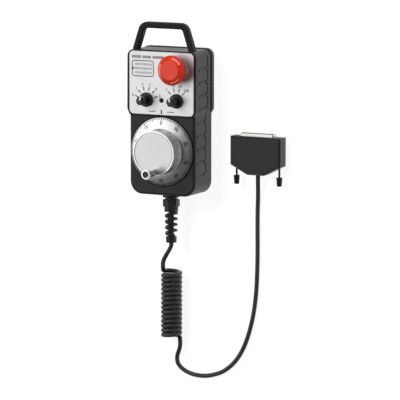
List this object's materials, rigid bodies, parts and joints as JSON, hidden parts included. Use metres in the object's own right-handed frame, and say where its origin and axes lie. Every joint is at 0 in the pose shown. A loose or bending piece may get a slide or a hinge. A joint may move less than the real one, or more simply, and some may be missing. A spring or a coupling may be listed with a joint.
{
  "type": "pulse generator handwheel pendant",
  "caption": "Handheld pendant with a graduated handwheel, two rotary selectors, mushroom stop button, enable button and carry handle, on a curly cord with a D-shaped connector.",
  "frame": {"origin": "on the flat back of the case, where the handwheel's axis meets it", "axes": "+X to the right of the panel, +Y along the case towards the carry handle, +Z out of the front; the pendant lies on its back"},
  "size_m": [0.1587, 0.3614, 0.074],
  "materials": {
    "abs_black": "fine moulded texture, satin",
    "abs_cover": "fine moulded texture, satin",
    "abs_grey": "satin",
    "knob_black": "semi-gloss",
    "nylon_black": "satin",
    "pvc_cord": "soft satin",
    "rubber_seal": "matt",
    "steel_screw": "zinc plated",
    "panel_alu": "satin printed plate",
    "wheel_alu": "turned and bead blasted",
    "cap_alu": "brushed round",
    "encoder_alu": "turned",
    "plastic_dark": "satin",
    "bearing_steel": "ground",
    "board_green": "solder mask",
    "disc_steel": "etched",
    "plastic_blue": "satin",
    "lens_dark": "gloss",
    "estop_red": "semi-gloss",
    "spring_steel": "drawn",
    "plastic_ivory": "satin",
    "plastic_red": "satin",
    "hood_black": "fine moulded texture",
    "shell_tin": "tinned steel",
    "insulator_black": "glass-filled",
    "contact_gold": "gold flashed",
    "screw_black": "moulded thumb head"
  },
  "bodies": {
    "pendant": {"front_housing": "abs_black", "rear_cover": "abs_cover", "cover_gasket": "rubber_seal", "cover_screws": "steel_screw", "carry_handle": "nylon_black", "handle_screws": "steel_screw", "face_panel": "panel_alu", "encoder_body": "encoder_alu", "encoder_cover": "plastic_dark", "encoder_screws": "steel_screw", "shaft_bearings": "bearing_steel", "encoder_board": "board_green", "axis_switch": "plastic_blue", "scale_switch": "plastic_blue", "switch_nuts": "steel_screw", "pilot_lens": "lens_dark", "estop_collar": "plastic_dark", "estop_seal": "rubber_seal", "estop_nut": "plastic_dark", "estop_contact_block": "plastic_dark", "estop_spring": "spring_steel", "enable_retainer": "plastic_dark", "enable_switch": "plastic_red", "main_board": "board_green", "board_screws": "steel_screw", "gland_body": "nylon_black", "gland_locknut": "nylon_black", "gland_seal": "rubber_seal", "strain_relief": "nylon_black", "inner_cable": "pvc_cord", "cord_lead": "pvc_cord", "cord_coil": "pvc_cord", "cord_tail": "pvc_cord", "hood_front": "hood_black", "hood_rear": "hood_black", "hood_screws": "steel_screw", "dsub_shell": "shell_tin", "dsub_insulator": "insulator_black", "dsub_contacts": "contact_gold", "cable_clamp": "steel_screw", "plug_cable": "pvc_cord"},
    "handwheel": {"handwheel": "wheel_alu", "handwheel_cap": "cap_alu", "hub_setscrews": "steel_screw", "encoder_shaft": "steel_screw", "code_disc": "disc_steel", "spinner_screw": "steel_screw"},
    "spinner": {"spinner_knob": "wheel_alu"},
    "axis_selector": {"axis_knob": "knob_black", "axis_shaft": "steel_screw"},
    "scale_selector": {"scale_knob": "knob_black", "scale_shaft": "steel_screw"},
    "stop_plunger": {"estop_plunger": "plastic_ivory"},
    "stop_head": {"estop_head": "estop_red"},
    "enable_button": {"enable_button": "abs_grey"},
    "jack_float_left": {"jack_washer_left": "steel_screw"},
    "jack_float_right": {"jack_washer_right": "steel_screw"},
    "jack_left": {"jackscrew_left": "screw_black"},
    "jack_right": {"jackscrew_right": "screw_black"}
  },
  "joints": [
    {"name": "handwheel_spin", "type": "hinge", "parent": "pendant", "child": "handwheel", "pos_m": [0, 0, 0.0572], "axis": [0, 0, 1], "continuous": true},
    {"name": "spinner_spin", "type": "hinge", "parent": "handwheel", "child": "spinner", "pos_m": [0, -0.0192, 0.066], "axis": [0, 0, 1], "continuous": true},
    {"name": "axis_select", "type": "hinge", "parent": "pendant", "child": "axis_selector", "pos_m": [-0.0169, 0.0514, 0.045], "axis": [0, 0, 1], "range_deg": [-60, 90]},
    {"name": "scale_select", "type": "hinge", "parent": "pendant", "child": "scale_selector", "pos_m": [0.0169, 0.0514, 0.045], "axis": [0, 0, 1], "range_deg": [-60, 30]},
    {"name": "stop_press", "type": "slide", "parent": "pendant", "child": "stop_plunger", "axis": [0, 0, -1], "range_m": [0, 0.004], "deforming": ["estop_spring"]},
    {"name": "stop_twist", "type": "hinge", "parent": "stop_plunger", "child": "stop_head", "pos_m": [0.0173, 0.0832, 0.05], "axis": [0, 0, 1], "range_deg": [-45, 0], "stiffness_Nm_per_rad": 0.01, "springref_deg": 11.46},
    {"name": "enable_press", "type": "slide", "parent": "pendant", "child": "enable_button", "axis": [1, 0, 0], "range_m": [0, 0.0015], "stiffness_N_per_m": 300, "springref_m": -0.001},
    {"name": "jack_slide_left", "type": "slide", "parent": "pendant", "child": "jack_float_left", "axis": [0, 1, 0], "range_m": [0, 0.006]},
    {"name": "jack_spin_left", "type": "hinge", "parent": "jack_float_left", "child": "jack_left", "pos_m": [0.06788, 0, 0.0078], "axis": [0, 1, 0], "continuous": true},
    {"name": "jack_slide_right", "type": "slide", "parent": "pendant", "child": "jack_float_right", "axis": [0, 1, 0], "range_m": [0, 0.006]},
    {"name": "jack_spin_right", "type": "hinge", "parent": "jack_float_right", "child": "jack_right", "pos_m": [0.11492, 0, 0.0078], "axis": [0, 1, 0], "continuous": true}
  ]
}
